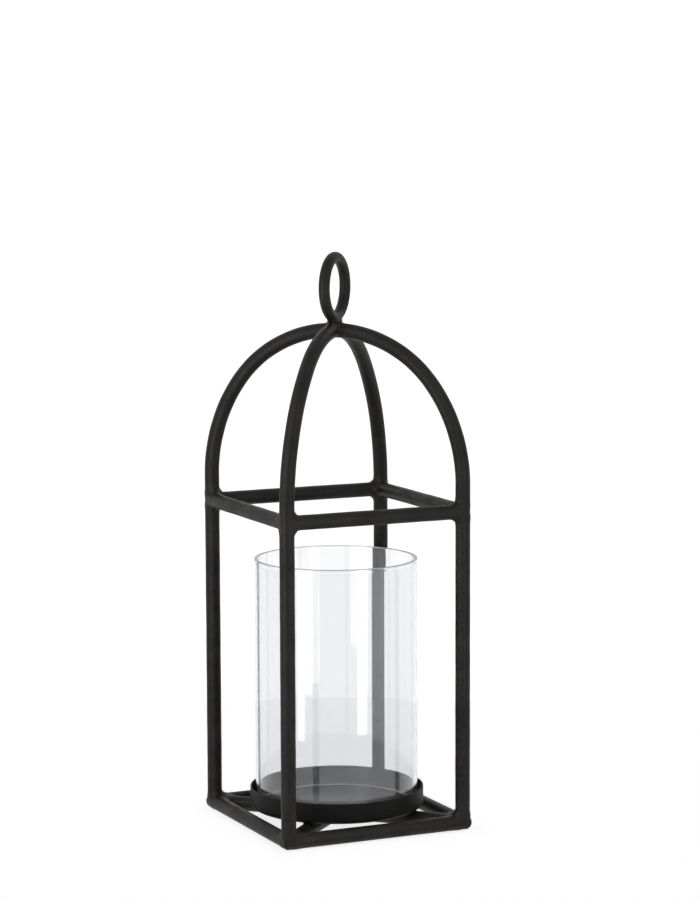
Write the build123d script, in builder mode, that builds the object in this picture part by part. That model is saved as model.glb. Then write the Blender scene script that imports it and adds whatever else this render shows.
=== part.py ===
"""Candle lantern: a welded cage of round bar with a domed top and a hanging ring, a shallow round
dish on a cross of bars, and a loose glass cylinder standing in the dish.

Origin: on the floor, under the middle of the cage. +Z is up and -Y is the front. Millimetres.
"""
import os
from math import cos, radians, sin, sqrt

from build123d import *

# --- Driving dimensions -------------------------------------------------------------------------

rod_diameter = 10.0             # round bar of the whole cage

glass_diameter = 110.0          # outside
glass_height = 168.5
glass_wall = 2.5
glass_lip_radius = 0.5          # flame-polished edges, top and bottom

dish_sheet = 1.2                # pressed sheet
dish_depth = 12.8               # from the dish floor to its rim
dish_corner_radius = 3.0        # outside, at the foot of the rim
dish_rim_radius = 0.4           # deburred edge of the rim

glass_clearance = 2.5           # glass to dish rim, all round
post_clearance = 3.5            # glass to the plane of two posts, each side
lift_clearance = 17.5           # glass foot over the dish rim when its top meets the upper rails

straight_above_rails = 6.0      # straight length of the through hoop above the upper rails' axes
split_hoop_extra_leg = 12.0     # the split hoop stays straight this much further
dome_rise = 112.0               # crown above the end of the through hoop's straight legs
through_hoop_shoulder = 45.0    # degrees that each shoulder arc of the through hoop turns
split_hoop_shoulder = 35.0      # the same on the split hoop

ring_diameter = 47.0            # hanging ring, outside
ring_wire_diameter = 7.5
ring_root_gap = 0.3             # between crown and ring, filled with weld

bead_radius = 1.6               # weld beads
rail_bead_reach = 24.0          # degrees round the seam that a bead runs, either way
cross_bead_reach = 30.0
crown_bead_reach = 40.0
ring_weld_radius = 4.0          # collar of weld metal under the hanging ring
ring_weld_drop = 1.6            # how far it reaches down the crown
ring_weld_rise = 2.4            # and up the ring
tack_length = 7.0               # tack welds under the dish
tack_half_width = 3.4
tack_gap = 1.2                  # each tack starts this far from the top line of its bar

# --- What follows from them ---------------------------------------------------------------------

rod_radius = rod_diameter / 2
post_spacing = glass_diameter + 2 * post_clearance + rod_diameter
half_spacing = post_spacing / 2
half_span = half_spacing * sqrt(2)

dish_underside = rod_diameter
dish_floor = dish_underside + dish_sheet
dish_radius = glass_diameter / 2 + glass_clearance + dish_sheet

upper_rail_height = dish_floor + glass_height + dish_depth + lift_clearance + rod_radius
through_hoop_leg = upper_rail_height + straight_above_rails
split_hoop_leg = through_hoop_leg + split_hoop_extra_leg
crown_height = through_hoop_leg + dome_rise

ring_radius = (ring_diameter - ring_wire_diameter) / 2
ring_height = crown_height + rod_radius + ring_root_gap + ring_diameter / 2

up = Vector(0, 0, 1)
sides = {"front": 0, "right": 90, "back": 180, "left": 270}
corners = [Vector(x, y, 0) for x, y in ((-1, -1), (1, -1), (1, 1), (-1, 1))]


# --- Cage ---------------------------------------------------------------------------------------

def rail_section(turn, height):
    """Plane across a rail at its middle. A turn of 0 is the front, 90 the right-hand side."""
    middle = Vector(0, -half_spacing, height).rotate(Axis.Z, turn)
    return Plane(origin=middle, z_dir=Vector(1, 0, 0).rotate(Axis.Z, turn))


def mitred_rail(turn, height, reach):
    """Rod along one side of the square, mitred at 45 degrees, and no further than reach either way."""
    with BuildPart() as rail:
        with BuildSketch(rail_section(turn, height)):
            Circle(rod_radius)
        extrude(amount=reach, both=True)
        with BuildSketch(Plane.XY.offset(height).rotated((0, 0, turn))):
            Polygon((0, 0), (-post_spacing, -post_spacing), (post_spacing, -post_spacing), align=None)
        extrude(amount=rod_diameter, both=True, mode=Mode.INTERSECT)
    return rail.part


def upper_rail(turn):
    """Rod between two posts: its mitred ends are coped to the posts."""
    posts = [corner * half_spacing + up * upper_rail_height for corner in corners]
    with BuildPart() as rail:
        add(mitred_rail(turn, upper_rail_height, half_spacing))
        with Locations(posts):
            Cylinder(rod_radius, 2 * rod_diameter, mode=Mode.SUBTRACT)
    return rail.part


def hoop_plane(direction):
    """Upright plane through the axis: local x runs along the direction, local y goes up."""
    return Plane(origin=(0, 0, 0), x_dir=direction, z_dir=direction.cross(up))


def hoop_half(plane, leg_height, shoulder):
    """Centre line of half a hoop, from the foot of its leg to the crown: a straight leg, a shoulder
    arc and a crown arc, all tangent. The two radii follow from the span, the rise and the shoulder's
    angle: with k = (1 - sin) / cos, span * k + shoulder_radius * (1 - k) = rise."""
    rise = crown_height - leg_height
    k = (1 - sin(radians(shoulder))) / cos(radians(shoulder))
    shoulder_radius = (rise - half_span * k) / (1 - k)
    crown_radius = shoulder_radius + (half_span - shoulder_radius) / cos(radians(shoulder))
    with BuildLine(plane) as path:
        leg = Line((half_span, rod_radius), (half_span, leg_height))
        bend = JernArc(leg @ 1, leg % 1, shoulder_radius, shoulder)
        JernArc(bend @ 1, bend % 1, crown_radius, 90 - shoulder)
    return path.line


def swept_rod(path):
    """Round bar bent along the path."""
    with BuildPart() as rod:
        with BuildSketch(Plane(origin=path @ 0, z_dir=path % 0)):
            Circle(rod_radius)
        sweep(path=path)
    return rod.part


base_reach = half_spacing + rod_diameter
base_rails = {side: mitred_rail(turn, rod_radius, base_reach) for side, turn in sides.items()}
upper_rails = {side: upper_rail(turn) for side, turn in sides.items()}

front_left, front_right, back_right, back_left = [corner.normalized() for corner in corners]

with BuildPart() as hoop_through:
    for direction in (front_left, back_right):
        add(swept_rod(hoop_half(hoop_plane(direction), through_hoop_leg, through_hoop_shoulder)))
    add(list(base_rails.values()), mode=Mode.SUBTRACT)


def split_hoop_half(direction):
    """Half hoop, with its foot coped to the base and its upper end to the through hoop."""
    with BuildPart() as hoop:
        add(swept_rod(hoop_half(hoop_plane(direction), split_hoop_leg, split_hoop_shoulder)))
        add(list(base_rails.values()) + [hoop_through.part], mode=Mode.SUBTRACT)
    return hoop.part


half_hoops = {
    "hoop_half_front_right": split_hoop_half(front_right),
    "hoop_half_back_left": split_hoop_half(back_left),
}
hoops = [hoop_through.part, *half_hoops.values()]


# --- Cross under the dish -----------------------------------------------------------------------

def cross_section(direction):
    """Plane across a bar of the cross, at the axis of the lantern."""
    return Plane(origin=(0, 0, rod_radius), z_dir=direction)


with BuildPart() as cross_rod_through:
    with BuildSketch(cross_section(back_right)):
        Circle(rod_radius)
    extrude(amount=half_span, both=True)
    add(list(base_rails.values()) + hoops, mode=Mode.SUBTRACT)


def cross_rod_half(direction):
    """Short bar from the through bar to a corner of the base, coped at both ends."""
    with BuildPart() as rod:
        with BuildSketch(cross_section(direction)):
            Circle(rod_radius)
        extrude(amount=half_span)
        add(list(base_rails.values()) + hoops + [cross_rod_through.part], mode=Mode.SUBTRACT)
    return rod.part


half_cross_rods = {
    "cross_rod_front_right": cross_rod_half(front_right),
    "cross_rod_back_left": cross_rod_half(back_left),
}
cross_rods = [cross_rod_through.part, *half_cross_rods.values()]

# --- Hanging ring -------------------------------------------------------------------------------

ring_plane = Plane(origin=(0, 0, ring_height), z_dir=front_right)
with BuildPart() as hanging_ring:
    with Locations(ring_plane):
        Torus(ring_radius, ring_wire_diameter / 2)

# --- Dish and glass -----------------------------------------------------------------------------

with BuildPart() as candle_dish:
    with BuildSketch(Plane.XY.offset(dish_underside)):
        Circle(dish_radius)
    extrude(amount=dish_sheet + dish_depth)
    fillet(candle_dish.faces().sort_by(Axis.Z)[0].edges(), dish_corner_radius)
    offset(amount=-dish_sheet, openings=candle_dish.faces().sort_by(Axis.Z)[-1])
    fillet(candle_dish.faces().sort_by(Axis.Z)[-1].edges(), dish_rim_radius)

with BuildPart() as glass_cylinder:
    with BuildSketch(Plane.XY.offset(dish_floor)):
        Circle(glass_diameter / 2)
        Circle(glass_diameter / 2 - glass_wall, mode=Mode.SUBTRACT)
    extrude(amount=glass_height)
    fillet(glass_cylinder.edges().filter_by(GeomType.CIRCLE), glass_lip_radius)


# --- Weld metal ---------------------------------------------------------------------------------

def bead(joint, first, second, reach, rods):
    """Round bead in the notch between two rods whose axes leave the joint in two directions. The seam
    of two equal round rods is half an ellipse in the plane that halves their angle: one rod radius
    across, and rod_radius / sin(half the angle) deep. The bead runs reach degrees either way, and the
    rods' own metal is taken out of it."""
    half_angle = radians(first.get_angle(second) / 2)
    middle = first + second
    plane = Plane(origin=joint, x_dir=middle, z_dir=middle.cross(first.cross(second)))
    with BuildLine(plane) as seam:
        EllipticalCenterArc((0, 0), rod_radius / sin(half_angle), rod_radius, -reach,
                            arc_size=2 * reach)
    path = seam.line
    with BuildPart() as weld:
        with BuildSketch(Plane(origin=path @ 0, z_dir=path % 0)):
            Circle(bead_radius)
        sweep(path=path)
        add(rods, mode=Mode.SUBTRACT)
    return weld.part


def at_four_corners(pieces):
    """The same pieces at each corner of the square."""
    with BuildPart() as group:
        for piece in pieces:
            with PolarLocations(0, 4):
                add(piece)
    return group.part


inward = Vector(1, 1, 0).normalized()
front_left_rails = (Vector(1, 0, 0), Vector(0, 1, 0))
corner_base = corners[0] * half_spacing + up * rod_radius
corner_upper = corners[0] * half_spacing + up * upper_rail_height
upper_rods = [upper_rails["front"], upper_rails["left"], hoop_through.part]
base_rods = [base_rails["front"], base_rails["left"], hoop_through.part, cross_rod_through.part]

upper_rail_welds = at_four_corners([bead(corner_upper, rail, stem, rail_bead_reach, upper_rods)
                                    for rail in front_left_rails for stem in (up, -up)])
base_corner_welds = at_four_corners([bead(corner_base, rail, up, rail_bead_reach, base_rods)
                                     for rail in front_left_rails])
cross_end_beads = [bead(corner_base, rail, inward, cross_bead_reach, base_rods)
                   for rail in front_left_rails]
cross_middle_bead = bead(up * rod_radius, front_left, front_right, cross_bead_reach, cross_rods)
cross_rod_welds = at_four_corners([*cross_end_beads, cross_middle_bead])

crown = up * crown_height
around = [front_left, front_right, back_right, back_left, front_left]
with BuildPart() as crown_welds:
    for first, second in zip(around, around[1:]):
        add(bead(crown, first, second, crown_bead_reach, hoops))

with BuildPart() as ring_weld:
    with BuildSketch(Plane.XY.offset(crown_height + rod_radius - ring_weld_drop)):
        Circle(ring_weld_radius)
    extrude(amount=ring_weld_drop + ring_weld_rise)
    add([*hoops, hanging_ring.part], mode=Mode.SUBTRACT)

tack_start = dish_radius - dish_corner_radius - tack_length
with BuildPart() as dish_tack_welds:
    for direction in (front_left, front_right, back_right, back_left):
        with BuildSketch(Plane(origin=direction * tack_start + up * dish_underside,
                               x_dir=direction, z_dir=-up)):
            for side in (-1, 1):
                with Locations((tack_length / 2, side * (tack_half_width + tack_gap) / 2)):
                    Rectangle(tack_length, tack_half_width - tack_gap)
        extrude(amount=rod_radius / 2)
    add(cross_rods, mode=Mode.SUBTRACT)


# --- Write the pieces ---------------------------------------------------------------------------

pieces = {
    **{f"base_rail_{side}": rail for side, rail in base_rails.items()},
    **{f"upper_rail_{side}": rail for side, rail in upper_rails.items()},
    "hoop_through": hoop_through.part,
    **half_hoops,
    "cross_rod_through": cross_rod_through.part,
    **half_cross_rods,
    "hanging_ring": hanging_ring.part,
    "candle_dish": candle_dish.part,
    "glass_cylinder": glass_cylinder.part,
    "upper_rail_welds": upper_rail_welds,
    "base_corner_welds": base_corner_welds,
    "cross_rod_welds": cross_rod_welds,
    "crown_welds": crown_welds.part,
    "ring_weld": ring_weld.part,
    "dish_tack_welds": dish_tack_welds.part,
}

os.makedirs("parts", exist_ok=True)
for name, piece in pieces.items():
    piece.label = name
    export_step(piece, f"parts/{name}.step")
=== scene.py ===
"""Candle lantern: the finished skins, paint and glass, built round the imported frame.

All points are in metres in the frame's own axes: +Z up, -Y the front, the floor at zero.
"""

import bpy
import numpy as np
from mathutils import Matrix, Vector


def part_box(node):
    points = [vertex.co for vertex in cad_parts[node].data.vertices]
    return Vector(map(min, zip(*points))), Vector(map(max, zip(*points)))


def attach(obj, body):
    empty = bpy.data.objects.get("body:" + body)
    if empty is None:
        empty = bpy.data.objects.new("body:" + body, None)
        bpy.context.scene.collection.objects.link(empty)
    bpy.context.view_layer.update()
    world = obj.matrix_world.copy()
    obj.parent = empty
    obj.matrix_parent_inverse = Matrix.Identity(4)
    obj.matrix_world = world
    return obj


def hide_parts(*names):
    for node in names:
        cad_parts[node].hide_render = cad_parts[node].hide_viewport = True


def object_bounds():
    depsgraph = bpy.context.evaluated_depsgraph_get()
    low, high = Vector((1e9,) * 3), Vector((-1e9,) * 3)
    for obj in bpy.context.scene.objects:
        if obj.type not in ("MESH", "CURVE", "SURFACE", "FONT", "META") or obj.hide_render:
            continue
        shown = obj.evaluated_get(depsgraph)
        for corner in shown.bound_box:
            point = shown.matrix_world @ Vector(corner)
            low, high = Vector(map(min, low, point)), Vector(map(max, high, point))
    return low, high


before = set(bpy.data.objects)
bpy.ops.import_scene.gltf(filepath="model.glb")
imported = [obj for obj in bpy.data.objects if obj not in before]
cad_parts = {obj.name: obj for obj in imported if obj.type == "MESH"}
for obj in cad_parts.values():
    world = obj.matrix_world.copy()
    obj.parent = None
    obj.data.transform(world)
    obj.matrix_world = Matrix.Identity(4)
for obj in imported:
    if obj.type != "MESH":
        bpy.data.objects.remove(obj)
cad_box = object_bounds()

MM = 0.001
UP = np.array([0.0, 0.0, 1.0])
FULL_TURN = 2 * np.pi


# --- Sizes read from the frame --------------------------------------------------------------------

def node_box(node):
    """Lowest and highest corner of a node, as arrays."""
    low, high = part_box(node)
    return np.array(low), np.array(high)


rail_low, rail_high = node_box("upper_rail_front")
ROD = (rail_high[2] - rail_low[2]) / 2              # radius of the bars
HALF = -(rail_low[1] + rail_high[1]) / 2            # from the axis to the plane of the post axes
RAIL_HEIGHT = (rail_high[2] + rail_low[2]) / 2
HALF_SPAN = HALF * np.sqrt(2)                       # from the axis to a post's axis
CROWN = node_box("hoop_half_front_right")[1][2] - ROD

THROUGH_LEG = RAIL_HEIGHT + 6 * MM                  # straight legs end here
SPLIT_LEG = THROUGH_LEG + 12 * MM
THROUGH_SHOULDER = np.radians(45)                   # turned by each shoulder arc
SPLIT_SHOULDER = np.radians(35)

ring_low, ring_high = node_box("hanging_ring")
RING_WIRE = 3.75 * MM                               # radius of the ring's wire
RING_HEIGHT = (ring_low[2] + ring_high[2]) / 2
RING_RADIUS = (ring_high[2] - ring_low[2]) / 2 - RING_WIRE

dish_low, dish_high = node_box("candle_dish")
DISH_RADIUS = (dish_high[0] - dish_low[0]) / 2
DISH_SHEET = 1.2 * MM
DISH_CORNER = 3.0 * MM

glass_low, glass_high = node_box("glass_cylinder")
GLASS_RADIUS = (glass_high[0] - glass_low[0]) / 2
GLASS_WALL = 2.5 * MM
GLASS_EDGE = 0.5 * MM                               # radius of the melted edges
LIP_HEIGHT = 1.9 * MM                               # melted lip, a hair wider than the tube below it
LIP_STEP = 0.1 * MM
LIP_BLEND = 0.6 * MM                                # height over which the wall steps back
LIP_ROWS = 1.0 * MM                                 # close rows start this far under the lip

RAIL_REACH = 5.0 * MM                               # how far weld metal runs out from a seam
MITRE_REACH = 3.0 * MM                              # round the base corners
CROWN_REACH = 1.4 * MM                              # where one hoop is coped against the other
RING_REACH = 5.0 * MM
TACK_REACH = 3.2 * MM                               # under the dish
TACK_RADIUS = 51.5 * MM                             # from the axis to the middle of a tack weld
TACK_LENGTH = 9.0 * MM
TACK_LEFT = 0.01                                    # share of TACK_REACH left beyond a tack's ends
WELD_UNEVEN = 0.07                                  # change of the reach by each wave of a hand weld
WALK_STEPS = 10                                     # steps that walk a skin out to its fillet
WALK_SHARE = 0.8                                    # of the way that is left, in each step
FILLET_LIMIT = 0.36                                 # most that a skin flares, as a share of the reach
FILLET_START = 0.3                                  # depth in the other rod where it starts, likewise
MITRE_ROUNDING = 2.2 * MM                           # outer edge of the base corners, ground round
COAT_DEPTH = 0.03 * MM                              # waves of the paint, and the room left for them
COAT_ROOM = 0.05 * MM
HOOP_INSET = 0.08 * MM                              # from the frame's box, a little more for each kind
UPPER_INSET = 0.12 * MM
CROSS_INSET = 0.16 * MM
ROW_STEP = 0.9 * MM
ROUND = 48                                          # points round a rod
RING_ROWS = 180
DISH_COLUMNS = 192
GLASS_COLUMNS = 720
PROFILE_GAP = 0.5 * MM                              # between the stretches of a turned profile
FINISH_LINE = 0.9 * DISH_SHEET                      # depth in the sheet where the inside's glossier paint begins, lightened as painted sheen


# --- Axes of the rods -----------------------------------------------------------------------------

def corner(x_side, y_side, height):
    """Point on a post's axis."""
    return np.array([x_side * HALF, y_side * HALF, height])


def straight(start, end):
    """Gives the nearest point of a straight axis to each of a list of points: the foot of the
    perpendicular, held between the two ends."""
    along = end - start

    def nearest(points):
        share = np.clip((points - start) @ along / (along @ along), 0, 1)
        return start + share[:, None] * along
    return nearest


def hoop_arcs(leg_top, shoulder):
    """Centres and radii of a hoop's shoulder and crown arcs, tangent to the leg, to each other and
    to the level at the crown. With k = (1 - sin) / cos of the shoulder's angle, the span times k plus
    the shoulder radius times 1 - k is the rise."""
    rise = CROWN - leg_top
    k = (1 - np.sin(shoulder)) / np.cos(shoulder)
    small = (rise - HALF_SPAN * k) / (1 - k)
    large = small + (HALF_SPAN - small) / np.cos(shoulder)
    return (HALF_SPAN - small, leg_top, small), (0.0, CROWN - large, large)


def bent(direction, leg_top, shoulder, both_ways):
    """Gives the nearest point of a hoop's axis to each of a list of points, as the nearest of its
    straight leg, shoulder arc and crown arc in the hoop's upright plane."""
    arcs = hoop_arcs(leg_top, shoulder)
    turns = ((0.0, shoulder), (shoulder, np.pi / 2))

    def nearest(points):
        out = points @ direction
        side = np.where(out < 0, -1.0, 1.0) if both_ways else np.ones(len(out))
        flat = np.stack([out * side, points[:, 2]], 1)
        found = [np.stack([np.full(len(flat), HALF_SPAN), np.clip(flat[:, 1], ROD, leg_top)], 1)]
        for (x, z, radius), (first, last) in zip(arcs, turns):
            angle = np.arctan2(flat[:, 1] - z, flat[:, 0] - x)
            angle = np.clip(angle, first, last)
            found.append(np.stack([x + radius * np.cos(angle), z + radius * np.sin(angle)], 1))
        gaps = np.stack([np.linalg.norm(flat - f, axis=1) for f in found])
        best = np.stack(found)[gaps.argmin(0), np.arange(len(flat))]
        return (best[:, :1] * side[:, None]) * direction + best[:, 1:] * UP
    return nearest


def ringed(normal):
    """Gives the nearest point of the hanging ring's axis circle to each of a list of points."""
    centre = UP * RING_HEIGHT

    def nearest(points):
        flat = points - centre
        flat = flat - (flat @ normal)[:, None] * normal
        return centre + RING_RADIUS * flat / np.linalg.norm(flat, axis=1)[:, None]
    return nearest


def flat_underside(points):
    """Nearest point of the dish's flat underside to each of a list of points."""
    radius = np.hypot(points[:, 0], points[:, 1])
    share = np.minimum(1, (DISH_RADIUS - DISH_CORNER) / np.maximum(radius, 1e-9))
    return np.stack([points[:, 0] * share, points[:, 1] * share, np.full(len(points), dish_low[2])], 1)


FRONT_LEFT, FRONT_RIGHT, BACK_RIGHT, BACK_LEFT = [
    np.array([x, y, 0.0]) / np.sqrt(2) for x, y in ((-1, -1), (1, -1), (1, 1), (-1, 1))]
SIDES = {"front": ((-1, -1), (1, -1)), "right": ((1, -1), (1, 1)),
         "back": ((1, 1), (-1, 1)), "left": ((-1, 1), (-1, -1))}

axes = {}
for side, (first, last) in SIDES.items():
    axes[f"base_rail_{side}"] = (straight(corner(*first, ROD), corner(*last, ROD)), ROD)
    upper_axis = straight(corner(*first, RAIL_HEIGHT), corner(*last, RAIL_HEIGHT))
    axes[f"upper_rail_{side}"] = (upper_axis, ROD)
axes["hoop_through"] = (bent(BACK_RIGHT, THROUGH_LEG, THROUGH_SHOULDER, True), ROD)
axes["hoop_half_front_right"] = (bent(FRONT_RIGHT, SPLIT_LEG, SPLIT_SHOULDER, False), ROD)
axes["hoop_half_back_left"] = (bent(BACK_LEFT, SPLIT_LEG, SPLIT_SHOULDER, False), ROD)
axes["cross_rod_through"] = (straight(corner(-1, -1, ROD), corner(1, 1, ROD)), ROD)
axes["cross_rod_front_right"] = (straight(UP * ROD, corner(1, -1, ROD)), ROD)
axes["cross_rod_back_left"] = (straight(UP * ROD, corner(-1, 1, ROD)), ROD)
axes["hanging_ring"] = (ringed(FRONT_RIGHT), RING_WIRE)
axes["candle_dish"] = (flat_underside, 0.0)


# --- Skins ----------------------------------------------------------------------------------------

def mesh_object(name, points, faces):
    """Object with smooth faces, turned so that the enclosed volume is positive."""
    corners_of = points[faces[:, :3]]
    volume = np.einsum("ij,ij->i", corners_of[:, 0], np.cross(corners_of[:, 1], corners_of[:, 2])).sum()
    if volume < 0:
        faces = faces[:, ::-1]
    mesh = bpy.data.meshes.new(name)
    mesh.from_pydata(points.tolist(), [], [[i for i in face if i >= 0] for face in faces.tolist()])
    mesh.polygons.foreach_set("use_smooth", [True] * len(mesh.polygons))
    mesh.validate()
    made = bpy.data.objects.new(name, mesh)
    bpy.context.scene.collection.objects.link(made)
    return made


def grid_faces(rows, columns, rows_closed):
    """Quads of a grid whose columns close on themselves, and whose rows may."""
    last = rows if rows_closed else rows - 1
    row, column = np.meshgrid(np.arange(last), np.arange(columns), indexing="ij")
    row, column = row.ravel(), column.ravel()
    next_row, next_column = (row + 1) % rows, (column + 1) % columns
    return np.stack([row * columns + column, row * columns + next_column,
                     next_row * columns + next_column, next_row * columns + column], 1)


def skin(name, grid, rows_closed=False):
    """Closed surface through a grid of points: rows of columns that run round. Open ends get a fan
    of triangles to the middle of the end row."""
    rows, columns, _ = grid.shape
    points = grid.reshape(-1, 3)
    faces = grid_faces(rows, columns, rows_closed)
    if not rows_closed:
        ends = np.stack([grid[0].mean(0), grid[-1].mean(0)])
        around = np.arange(columns)
        following = (around + 1) % columns
        offset = (rows - 1) * columns
        none = np.full(columns, -1)
        hub = np.full(columns, len(points))
        start = np.stack([following, around, hub, none], 1)
        finish = np.stack([offset + around, offset + following, hub + 1, none], 1)
        points = np.concatenate([points, ends])
        faces = np.concatenate([faces, start, finish])
    return mesh_object(name, points, faces)


def weld_reach(first, second, centres):
    """How far weld metal runs out from the seam of two pieces, at each of a list of points. Under the
    dish it runs only along the tack welds, and fades as half an ellipse towards their ends."""
    pair = {first, second}
    if "candle_dish" in pair:
        off = (np.hypot(centres[:, 0], centres[:, 1]) - TACK_RADIUS) / (TACK_LENGTH / 2)
        return TACK_REACH * np.sqrt(np.clip(1 - off ** 2, TACK_LEFT ** 2, 1))
    if "hanging_ring" in pair:
        return RING_REACH
    if all(name.startswith("hoop") for name in pair):
        return CROWN_REACH
    return MITRE_REACH if all(name.startswith("base_rail") for name in pair) else RAIL_REACH


def hand_weld(points):
    """Factor near 1 that makes weld metal run out a little unevenly: three crossed waves, each 6 to
    9 mm long."""
    radians_per_metre = np.array([[410.0, 530.0, 290.0], [-610.0, 350.0, 470.0], [230.0, -700.0, 640.0]])
    return 1 + WELD_UNEVEN * np.sin(points @ radians_per_metre.T).sum(1)


def welded(name, centres, outward, radius):
    """Points of a rod's skin, flared into weld metal where other rods come near.

    A point starts one radius out from its centre. With a its height over its own rod's skin and b its
    height over another rod's, the joint's skin is where min(a, b) - reach / 4 * h * h * (1 - cos) is
    zero: h falls from 1 where a = b to 0 where they differ by reach, and cos is that of the angle
    between the two skins, so that rods that run flush get no lump. The point is walked out along its
    own radius towards that, and no further than FILLET_LIMIT of the reach.
    """
    others = [(axis, weld_reach(name, other, centres)) for other, axis in axes.items() if other != name]
    uneven = hand_weld(centres)
    out = np.full(len(centres), radius)
    limit = None
    for _ in range(WALK_STEPS):
        points = centres + out[:, None] * outward
        level = out - radius
        room = np.zeros(len(centres))
        for (nearest, other_radius), reach in others:
            away = points - nearest(points)
            gap = np.linalg.norm(away, axis=1)
            facing = np.einsum("ij,ij->i", away, outward) / np.maximum(gap, 1e-9)
            gap = gap - other_radius
            stretch = reach * uneven
            inside = np.clip(1 + gap / (FILLET_START * stretch), 0, 1)
            room = np.maximum(room, FILLET_LIMIT * stretch * inside)
            share = np.clip(stretch - np.abs(level - gap), 0, None) / stretch
            level = np.minimum(level, gap) - stretch / 4 * share ** 2 * np.clip(1 - facing, 0, 1)
        if limit is None:
            limit = room
        out = np.clip(out - WALK_SHARE * level, radius, radius + limit)
    return centres + out[:, None] * outward


def in_box(points, inset):
    """Points held inside the frame's own box, so that weld metal never stands proud of it. Each kind of
    rod stops at an inset of its own, so that the skins of two kinds never lie in one plane."""
    return np.clip(points, np.array(cad_box[0]) + inset, np.array(cad_box[1]) - inset)


def coat(length, turn):
    """Change of radius of a painted bar: two slow waves that run along it and round it."""
    return COAT_DEPTH * (np.sin(length / (7 * MM) + turn) + 0.6 * np.sin(length / (2.9 * MM) - 2 * turn))


def round_angles():
    """Angles of the points round a rod."""
    return np.linspace(0, FULL_TURN, ROUND, endpoint=False)


def rod_skin(name, line, first, second, inset):
    """Skin of a rod: a circle carried along its line. first and second are the two unit directions
    across the line at each of its points."""
    turn = round_angles()
    outward = first[:, None] * np.cos(turn)[None, :, None] + second[:, None] * np.sin(turn)[None, :, None]
    centres = np.repeat(line[:, None], ROUND, 1)
    along = np.concatenate([[0], np.cumsum(np.linalg.norm(np.diff(line, axis=0), axis=1))])
    points = welded(name, centres.reshape(-1, 3), outward.reshape(-1, 3), ROD)
    sunk = COAT_ROOM - coat(along[:, None], turn)
    points = points.reshape(len(line), ROUND, 3) - outward * sunk[..., None]
    return skin(name + "_bar", in_box(points, inset))


def straight_rod(name, start, end, inset):
    """Straight rod between two points of the cage."""
    rows = int(np.linalg.norm(end - start) / ROW_STEP)
    line = start + np.linspace(0, 1, rows)[:, None] * (end - start)
    across = np.cross(UP, end - start)
    across = np.repeat((across / np.linalg.norm(across))[None], rows, 0)
    return rod_skin(name, line, across, np.repeat(UP[None], rows, 0), inset)


def mitred_rod(name, start, end):
    """Base rail between two corners. A point that lies v outside the square of the axes ends its row at
    the mitre, v beyond the corner, and the outer edge of the mitre is an arc whose radius
    grows with v."""
    rows = int(np.linalg.norm(end - start) / ROW_STEP) // 2 * 2
    along = (end - start) / np.linalg.norm(end - start)
    out = np.cross(along, UP)
    middle = (start + end) / 2
    turn = round_angles()
    share = np.linspace(-1, 1, rows)[:, None]
    outward = out * np.cos(turn)[:, None] + UP * np.sin(turn)[:, None]
    outward = np.repeat(outward[None], rows, 0)
    v = ROD * np.cos(turn)[None]
    reach = np.abs(share) * (HALF + v)
    centres = middle + (np.sign(share) * reach)[..., None] * along
    points = welded(name, centres.reshape(-1, 3), outward.reshape(-1, 3), ROD).reshape(rows, ROUND, 3)
    arc = MITRE_ROUNDING * np.clip(v / ROD, 0, None) + 1e-9
    past = np.clip(1 - (HALF + v - reach) / arc, 0, 1) * np.pi / 4
    x_back = np.where(past > 0, (reach - (HALF + v - arc)) - arc * np.sin(past), 0)
    y_back = np.where(past > 0, arc * (1 - np.cos(past)), 0)
    points = points - (np.sign(share) * x_back)[..., None] * along - y_back[..., None] * out
    return skin(name + "_bar", in_box(points - outward * COAT_ROOM, 0))


def hoop_line(leg_top, shoulder):
    """Half a hoop's line in its plane, from the foot to the crown: distances from the axis and
    heights, and the outward normal at each point."""
    (x1, z1, small), (x2, z2, large) = hoop_arcs(leg_top, shoulder)
    leg = np.linspace(ROD, leg_top, int((leg_top - ROD) / ROW_STEP), endpoint=False)
    bend = np.linspace(0, shoulder, int(small * shoulder / ROW_STEP), endpoint=False)
    top = np.linspace(shoulder, np.pi / 2, int(large * (np.pi / 2 - shoulder) / ROW_STEP))
    x = np.concatenate([np.full(len(leg), HALF_SPAN), x1 + small * np.cos(bend), x2 + large * np.cos(top)])
    z = np.concatenate([leg, z1 + small * np.sin(bend), z2 + large * np.sin(top)])
    angle = np.concatenate([np.zeros(len(leg)), bend, top])
    return x, z, angle


def hoop(name, direction, leg_top, shoulder, both_ways):
    """Bent rod: a hoop or half a hoop in the upright plane through the axis."""
    x, z, angle = hoop_line(leg_top, shoulder)
    if both_ways:
        x = np.concatenate([x, -x[-2::-1]])
        z = np.concatenate([z, z[-2::-1]])
        angle = np.concatenate([angle, np.pi - angle[-2::-1]])
    line = x[:, None] * direction + z[:, None] * UP
    outward = np.cos(angle)[:, None] * direction + np.sin(angle)[:, None] * UP
    across = np.repeat(np.cross(direction, UP)[None], len(x), 0)
    return rod_skin(name, line, outward, across, HOOP_INSET)


def ring(name):
    """Hanging ring: a circle carried round a circle, with its foot flared into the crown."""
    swing = np.linspace(0, FULL_TURN, RING_ROWS, endpoint=False)
    turn = round_angles()
    out = np.cos(swing)[:, None] * BACK_RIGHT + np.sin(swing)[:, None] * UP
    line = UP * RING_HEIGHT + RING_RADIUS * out
    outward = out[:, None] * np.cos(turn)[None, :, None] + FRONT_RIGHT * np.sin(turn)[None, :, None]
    centres = np.repeat(line[:, None], ROUND, 1)
    points = welded(name, centres.reshape(-1, 3), outward.reshape(-1, 3), RING_WIRE)
    return skin(name + "_wire", points.reshape(RING_ROWS, ROUND, 3), rows_closed=True)


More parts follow.
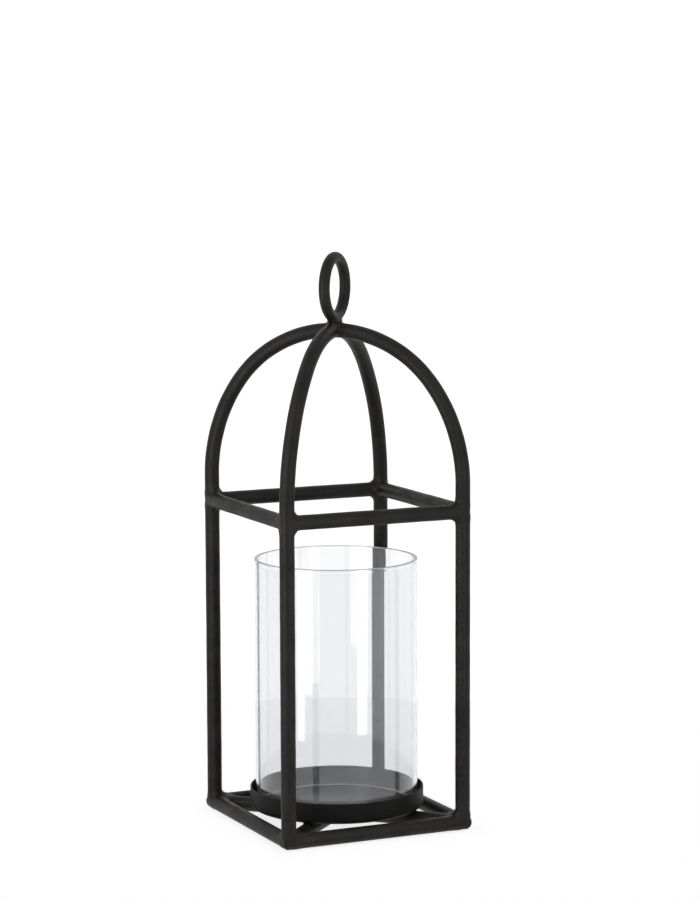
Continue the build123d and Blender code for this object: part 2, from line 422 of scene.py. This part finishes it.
def arc_profile(x, z, radius, first, last, steps):
    """Points of an arc in a profile, angles in degrees."""
    angle = np.radians(np.linspace(first, last, steps))
    return np.stack([x + radius * np.cos(angle), z + radius * np.sin(angle)], 1)


def turned(name, profile, around, rows_closed=False, wave=None):
    """Surface of revolution: a profile of radius and height carried round the axis. wave gives a small
    change of radius for each angle and height."""
    turn = np.linspace(0, FULL_TURN, around, endpoint=False)
    radius = np.repeat(profile[:, :1], around, 1)
    if wave is not None:
        radius = radius + wave(turn[None], profile[:, 1:])
    height = np.repeat(profile[:, 1:], around, 1)
    return skin(name, np.stack([radius * np.cos(turn), radius * np.sin(turn), height], 2), rows_closed)


def dish():
    """Dish: pressed sheet with a flat floor, a rounded foot and an upright rim with a rounded edge."""
    low, high = dish_low[2], dish_high[2]
    inner_corner = DISH_CORNER - DISH_SHEET
    lip = DISH_SHEET / 2
    wall = DISH_RADIUS - DISH_SHEET
    floor = low + DISH_SHEET
    foot = DISH_RADIUS - DISH_CORNER
    profile = np.concatenate([
        np.stack([np.linspace(PROFILE_GAP, wall - inner_corner - PROFILE_GAP, 40), np.full(40, floor)], 1),
        arc_profile(wall - inner_corner, floor + inner_corner, inner_corner, -90, 0, 8),
        np.stack([np.full(7, wall), np.linspace(floor + inner_corner, high - lip, 9)[1:-1]], 1),
        arc_profile(DISH_RADIUS - lip, high - lip, lip, 180, 0, 12),
        np.stack([np.full(7, DISH_RADIUS), np.linspace(high - lip, low + DISH_CORNER, 9)[1:-1]], 1),
        arc_profile(foot, low + DISH_CORNER, DISH_CORNER, 0, -90, 12),
        np.stack([np.linspace(foot - PROFILE_GAP, PROFILE_GAP, 20), np.full(20, low)], 1)])
    return turned("candle_dish_pressing", profile, DISH_COLUMNS)


def tube_wave(turn, height):
    """Slow lengthwise waves of a drawn glass tube, three sines round it that together run inward by up
    to about two hundredths of a millimetre."""
    wave = np.sin(3 * turn + 0.7) + 0.6 * np.sin(7 * turn + height / (400 * MM)) + 0.3 * np.sin(13 * turn)
    return 0.006 * MM * (wave - 1.9)


def glass_tube():
    """Glass cylinder: a tube whose ends are cut square and melted smooth, so that each edge is an
    arc of a small radius and the end between the two stays flat. Under the lip the wall steps back
    on both sides, as the square of a share times three less twice the share."""
    low, high = glass_low[2], glass_high[2]
    inner = GLASS_RADIUS - GLASS_WALL
    r = GLASS_EDGE
    lip = high - LIP_HEIGHT
    rise = np.concatenate([np.linspace(low + 2 * r, lip - LIP_ROWS - PROFILE_GAP, 16),
                           np.linspace(lip - LIP_ROWS, high - 2 * r, 16)])
    share = np.clip((lip - rise) / LIP_BLEND, 0, 1)
    step = LIP_STEP * share ** 2 * (3 - 2 * share)
    flat = np.linspace(inner + r, GLASS_RADIUS - r, 6)[1:-1]
    profile = np.concatenate([
        np.stack([GLASS_RADIUS - step, rise], 1),
        arc_profile(GLASS_RADIUS - r, high - r, r, 0, 90, 8),
        np.stack([flat[::-1], np.full(4, high)], 1),
        arc_profile(inner + r, high - r, r, 90, 180, 8),
        np.stack([inner + step[::-1], rise[::-1]], 1),
        arc_profile(inner + r, low + r, r, 180, 270, 8),
        np.stack([flat, np.full(4, low)], 1),
        arc_profile(GLASS_RADIUS - r, low + r, r, 270, 360, 8)])
    return turned("glass_cylinder_tube", profile, GLASS_COLUMNS, rows_closed=True, wave=tube_wave)


# --- Materials ------------------------------------------------------------------------------------

def linear(code):
    """Linear RGBA of an sRGB hex colour."""
    channels = np.array([int(code[i:i + 2], 16) for i in (1, 3, 5)]) / 255
    low, high = channels / 12.92, ((channels + 0.055) / 1.055) ** 2.4
    return (*np.where(channels <= 0.04045, low, high), 1.0)


def add(tree, kind, inputs=None, **settings):
    """Adds a node. settings are its own choices; inputs are values for its sockets, or the sockets
    that they are linked from."""
    made = tree.nodes.new(kind)
    for name, value in settings.items():
        setattr(made, name, value)
    for name, value in (inputs or {}).items():
        if isinstance(value, bpy.types.NodeSocket):
            tree.links.new(value, made.inputs[name])
        else:
            made.inputs[name].default_value = value
    return made


def new_material(name):
    """Material with an empty node tree."""
    material = bpy.data.materials.new(name)
    material.use_nodes = True
    material.node_tree.nodes.clear()
    return material, material.node_tree


def per_metre(size):
    """Scale of a noise texture whose blobs are about this size in metres."""
    return 1 / size


def powder_coat(name, dark, light, smoothest, roughest, shine):
    """Matt black powder coat on steel. Baked powder leaves a fine orange peel about a millimetre
    across. It pools a little, so tone and roughness drift over a few centimetres and mottle over a few
    millimetres, and the lighter places are the smoother ones. The powder's own grit, about a tenth of
    a millimetre, is drawn coarser so that it shows."""
    material, tree = new_material(name)
    place = add(tree, "ShaderNodeTexCoord").outputs["Object"]
    drift = add(tree, "ShaderNodeTexNoise", {"Vector": place, "Scale": per_metre(22 * MM), "Detail": 2.0})
    mottle = add(tree, "ShaderNodeTexNoise", {"Vector": place, "Scale": per_metre(4 * MM), "Detail": 3.0,
                                              "Roughness": 0.6})
    both = add(tree, "ShaderNodeMath", {0: mottle.outputs["Fac"], 1: 0.7, 2: drift.outputs["Fac"]},
               operation="MULTIPLY_ADD")
    spread = add(tree, "ShaderNodeMapRange", {"Value": both.outputs[0], "From Min": 0.6, "From Max": 1.1})
    tone = add(tree, "ShaderNodeMix", {"Factor": spread.outputs["Result"], "A": linear(dark),
                                       "B": linear(light)}, data_type="RGBA")
    worn = add(tree, "ShaderNodeMapRange", {"Value": both.outputs[0], "From Min": 0.6, "From Max": 1.1,
                                            "To Min": roughest, "To Max": smoothest})
    peel = add(tree, "ShaderNodeTexNoise", {"Vector": place, "Scale": per_metre(1.3 * MM), "Detail": 2.0})
    grit = add(tree, "ShaderNodeTexNoise", {"Vector": place, "Scale": per_metre(0.8 * MM), "Detail": 1.0})
    relief = add(tree, "ShaderNodeMath", {0: grit.outputs["Fac"], 1: 0.35, 2: peel.outputs["Fac"]},
                 operation="MULTIPLY_ADD")
    bump = add(tree, "ShaderNodeBump", {"Height": relief.outputs[0], "Strength": 0.5,
                                        "Distance": 0.08 * MM})
    paint = add(tree, "ShaderNodeBsdfPrincipled", {
        "Base Color": tone.outputs["Result"], "Roughness": worn.outputs["Result"],
        "Normal": bump.outputs["Normal"], "IOR": 1.5, "Specular IOR Level": shine})
    add(tree, "ShaderNodeOutputMaterial", {"Surface": paint.outputs["BSDF"]})
    return material


def drawn_glass():
    """Clear soda-lime tube: very smooth, a faint blue-grey body, and fine lengthwise draw lines about
    9 mm apart round the tube that only just bend what is seen through it."""
    material, tree = new_material("clear soda-lime glass, drawn")
    place = add(tree, "ShaderNodeTexCoord").outputs["Object"]
    stretched = add(tree, "ShaderNodeMapping", {"Vector": place, "Scale": (1.0, 1.0, 0.0)})
    lines = add(tree, "ShaderNodeTexNoise", {"Vector": stretched.outputs["Vector"],
                                             "Scale": per_metre(9 * MM), "Detail": 1.0})
    bump = add(tree, "ShaderNodeBump", {"Height": lines.outputs["Fac"], "Strength": 0.04,
                                        "Distance": 0.01 * MM})
    body = add(tree, "ShaderNodeBsdfPrincipled", {
        "Base Color": linear("#F5F6F8"), "Roughness": 0.0, "IOR": 1.53, "Transmission Weight": 0.96,
        "Normal": bump.outputs["Normal"]})
    add(tree, "ShaderNodeOutputMaterial", {"Surface": body.outputs["BSDF"]})
    return material


def melted_edge_painted_highlight():
    """Cut end of the glass tube, flame-polished, with a ripple of about 2 mm left by the cut. It is drawn
    partly matt white, a painted highlight that makes the rim read as a thin pale band."""
    material, tree = new_material("flame-polished edge of soda-lime glass")
    place = add(tree, "ShaderNodeTexCoord").outputs["Object"]
    ripple = add(tree, "ShaderNodeTexNoise", {"Vector": place, "Scale": per_metre(2 * MM), "Detail": 1.0})
    bump = add(tree, "ShaderNodeBump", {"Height": ripple.outputs["Fac"], "Strength": 0.1,
                                        "Distance": 0.05 * MM})
    body = add(tree, "ShaderNodeBsdfPrincipled", {
        "Base Color": linear("#FBFCFD"), "Roughness": 0.2, "IOR": 1.53, "Transmission Weight": 0.4,
        "Normal": bump.outputs["Normal"]})
    add(tree, "ShaderNodeOutputMaterial", {"Surface": body.outputs["BSDF"]})
    return material


def light_table_sheet():
    """Matt white sheet of a studio's light table: lit mostly from below, so that shadows on it are
    faint, with a faint fibre grain a few millimetres long."""
    material, tree = new_material("white light table")
    place = add(tree, "ShaderNodeTexCoord").outputs["Object"]
    fibre = add(tree, "ShaderNodeTexNoise", {"Vector": place, "Scale": per_metre(3 * MM)})
    bump = add(tree, "ShaderNodeBump", {"Height": fibre.outputs["Fac"], "Strength": 0.05,
                                        "Distance": 0.02 * MM})
    paper = add(tree, "ShaderNodeBsdfPrincipled", {
        "Base Color": linear("#E6E6E6"), "Roughness": 0.9, "Specular IOR Level": 0.1,
        "Emission Color": linear("#FFFFFF"), "Emission Strength": TABLE_GLOW,
        "Normal": bump.outputs["Normal"]})
    add(tree, "ShaderNodeOutputMaterial", {"Surface": paper.outputs["BSDF"]})
    return material


frame_paint = powder_coat("matt black powder coat on round bar", "#0F0D0B", "#262320", 0.45, 0.58, 0.17)
dish_paint = powder_coat("matt black powder coat on pressed sheet", "#0C0C0B", "#191816", 0.5, 0.6, 0.1)
# The inside of the dish is a lighter copy of the outside's black paint: the lighter tone is painted sheen,
# the lower roughness is real gloss.
inside_gloss_and_painted_sheen = powder_coat("satin black powder coat inside the dish", "#10100F", "#1D1C1B", 0.3, 0.38, 0.4)
clear_glass = drawn_glass()


# --- Pieces ---------------------------------------------------------------------------------------

def finish_piece(piece, material, body, slot, *stands_for):
    """Gives a piece its material and its body, and hides the nodes that it stands for. slot is not used."""
    piece.data.materials.clear()
    piece.data.materials.append(material)
    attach(piece, body)
    if stands_for:
        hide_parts(*stands_for)


def paint_part(piece, material, chosen):
    """Gives a second material to the faces that chosen picks by the radius and height of their
    middles."""
    mesh = piece.data
    mesh.materials.append(material)
    middles = np.empty(3 * len(mesh.polygons))
    mesh.polygons.foreach_get("center", middles)
    x, y, height = middles.reshape(-1, 3).T
    mesh.polygons.foreach_set("material_index", chosen(np.hypot(x, y), height).astype(int))


for side, (first, last) in SIDES.items():
    base = f"base_rail_{side}"
    finish_piece(mitred_rod(base, corner(*first, ROD), corner(*last, ROD)),
                 frame_paint, "frame", "frame_paint", base)
    upper = f"upper_rail_{side}"
    finish_piece(straight_rod(upper, corner(*first, RAIL_HEIGHT), corner(*last, RAIL_HEIGHT), UPPER_INSET),
                 frame_paint, "frame", "frame_paint", upper)

finish_piece(hoop("hoop_through", BACK_RIGHT, THROUGH_LEG, THROUGH_SHOULDER, True),
             frame_paint, "frame", "frame_paint", "hoop_through", "upper_rail_welds", "base_corner_welds",
             "crown_welds")
finish_piece(hoop("hoop_half_front_right", FRONT_RIGHT, SPLIT_LEG, SPLIT_SHOULDER, False),
             frame_paint, "frame", "frame_paint", "hoop_half_front_right")
finish_piece(hoop("hoop_half_back_left", BACK_LEFT, SPLIT_LEG, SPLIT_SHOULDER, False),
             frame_paint, "frame", "frame_paint", "hoop_half_back_left")

finish_piece(straight_rod("cross_rod_through", corner(-1, -1, ROD), corner(1, 1, ROD), CROSS_INSET),
             frame_paint, "frame", "frame_paint", "cross_rod_through", "cross_rod_welds", "dish_tack_welds")
finish_piece(straight_rod("cross_rod_front_right", UP * ROD, corner(1, -1, ROD), CROSS_INSET),
             frame_paint, "frame", "frame_paint", "cross_rod_front_right")
finish_piece(straight_rod("cross_rod_back_left", UP * ROD, corner(-1, 1, ROD), CROSS_INSET),
             frame_paint, "frame", "frame_paint", "cross_rod_back_left")

finish_piece(ring("hanging_ring"), frame_paint, "frame", "frame_paint", "hanging_ring", "ring_weld")
pressing = dish()
finish_piece(pressing, dish_paint, "frame", "dish_paint", "candle_dish")
# Faces inside the dish get the lighter paint, a painted sheen.
paint_part(pressing, inside_gloss_and_painted_sheen, lambda radius, height:
           (radius < DISH_RADIUS - FINISH_LINE) & (height > dish_low[2] + FINISH_LINE))
tube = glass_tube()
finish_piece(tube, clear_glass, "glass", "clear_glass", "glass_cylinder")
# Both flat ends of the tube get the whitened edge paint, a painted highlight on the rims.
paint_part(tube, melted_edge_painted_highlight(), lambda radius, height:
           (height < glass_low[2] + GLASS_EDGE) | (height > glass_high[2] - GLASS_EDGE))


# --- Studio ---------------------------------------------------------------------------------------

TABLE_GLOW = 0.82
TABLE_RADIUS = 0.41
TABLE_POINTS = 96
TABLE_DROP = 0.05 * MM
ROOM_LIGHT = 0.20                                   # of the white room on matt surfaces
BACKDROP = 1.1                                      # and seen directly, through glass or in gloss
SOFTBOX_HEIGHT = 0.40                               # of their middles
SOFTBOX_TALL = 0.79


def table():
    """Round light table under the lantern, a hair below the floor so that no two faces share a plane."""
    turn = np.linspace(0, FULL_TURN, TABLE_POINTS, endpoint=False)
    drop = np.full(TABLE_POINTS, -TABLE_DROP)
    edge = np.stack([TABLE_RADIUS * np.cos(turn), TABLE_RADIUS * np.sin(turn), drop], 1)
    mesh = bpy.data.meshes.new("light_table")
    mesh.from_pydata(edge.tolist(), [], [list(range(TABLE_POINTS))])
    made = bpy.data.objects.new("light_table", mesh)
    bpy.context.scene.collection.objects.link(made)
    made.data.materials.append(light_table_sheet())


def softbox(name, azimuth, distance, width, power):
    """Upright rectangular lamp that faces the lantern from an azimuth. The camera doesn't see it and it
    doesn't light matt surfaces: it shows in gloss and in the glass, as a pale strip."""
    lamp = bpy.data.lights.new(name, "AREA")
    lamp.shape = "RECTANGLE"
    lamp.size, lamp.size_y = width, SOFTBOX_TALL
    lamp.energy = power
    made = bpy.data.objects.new(name, lamp)
    turn = np.radians(azimuth)
    back = Vector((np.sin(turn), -np.cos(turn), 0.0))
    made.location = back * distance + Vector((0, 0, SOFTBOX_HEIGHT))
    made.rotation_mode = "QUATERNION"
    made.rotation_quaternion = (-back).to_track_quat("-Z", "Y")
    made.visible_camera = made.visible_diffuse = False
    bpy.context.scene.collection.objects.link(made)


def white_room():
    """World: plain white as a backdrop, through glass and in reflections, and softer as a light."""
    world = bpy.data.worlds.new("studio_room")
    bpy.context.scene.world = world
    world.use_nodes = True
    tree = world.node_tree
    tree.nodes.clear()
    ray = add(tree, "ShaderNodeLightPath")
    seen = add(tree, "ShaderNodeMath", {0: ray.outputs["Is Camera Ray"], 1: ray.outputs["Is Glossy Ray"]},
               operation="MAXIMUM")
    strength = add(tree, "ShaderNodeMapRange", {"Value": seen.outputs[0], "To Min": ROOM_LIGHT,
                                                "To Max": BACKDROP})
    glow = add(tree, "ShaderNodeBackground", {"Color": linear("#FFFFFF"),
                                              "Strength": strength.outputs["Result"]})
    add(tree, "ShaderNodeOutputWorld", {"Surface": glow.outputs["Background"]})


VIEW_AZIMUTH = -24.784                              # of the camera, in degrees
VIEW_ELEVATION = 6.888
VIEW_ROLL = -0.208
VIEW_DISTANCE = 31.858 * HALF
LOOK_AT = HALF * np.array([0.1449, -0.0544, 3.974])
LENS = 120.72                                       # millimetres, on a 36 mm sensor


def camera():
    """Camera in front of the lantern and to its left, a little above it, aimed two thirds of the way up."""
    data = bpy.data.cameras.new("studio_camera")
    data.lens = LENS
    data.sensor_width = 36.0
    data.clip_start, data.clip_end = 0.05, 50.0
    made = bpy.data.objects.new("studio_camera", data)
    turn, rise, roll = np.radians([VIEW_AZIMUTH, VIEW_ELEVATION, VIEW_ROLL])
    back = np.array([np.sin(turn) * np.cos(rise), -np.cos(turn) * np.cos(rise), np.sin(rise)])
    level = np.array([np.cos(turn), np.sin(turn), 0.0])
    upright = np.cross(back, level)
    right = np.cos(roll) * level + np.sin(roll) * upright
    above = np.cross(back, right)
    pose = Matrix([[*row] for row in np.stack([right, above, back], 1)]).to_4x4()
    pose.translation = Vector(LOOK_AT + back * VIEW_DISTANCE)
    made.matrix_world = pose
    bpy.context.scene.collection.objects.link(made)
    bpy.context.scene.camera = made


table()
white_room()
softbox("left_softbox", azimuth=VIEW_AZIMUTH - 37, distance=0.50, width=0.25, power=1.6)
softbox("left_strip_light", azimuth=VIEW_AZIMUTH - 47, distance=0.32, width=0.056, power=0.42)
softbox("right_softbox", azimuth=VIEW_AZIMUTH + 34.5, distance=0.345, width=0.082, power=0.6)
camera()
bpy.context.scene.view_settings.view_transform = "Standard"
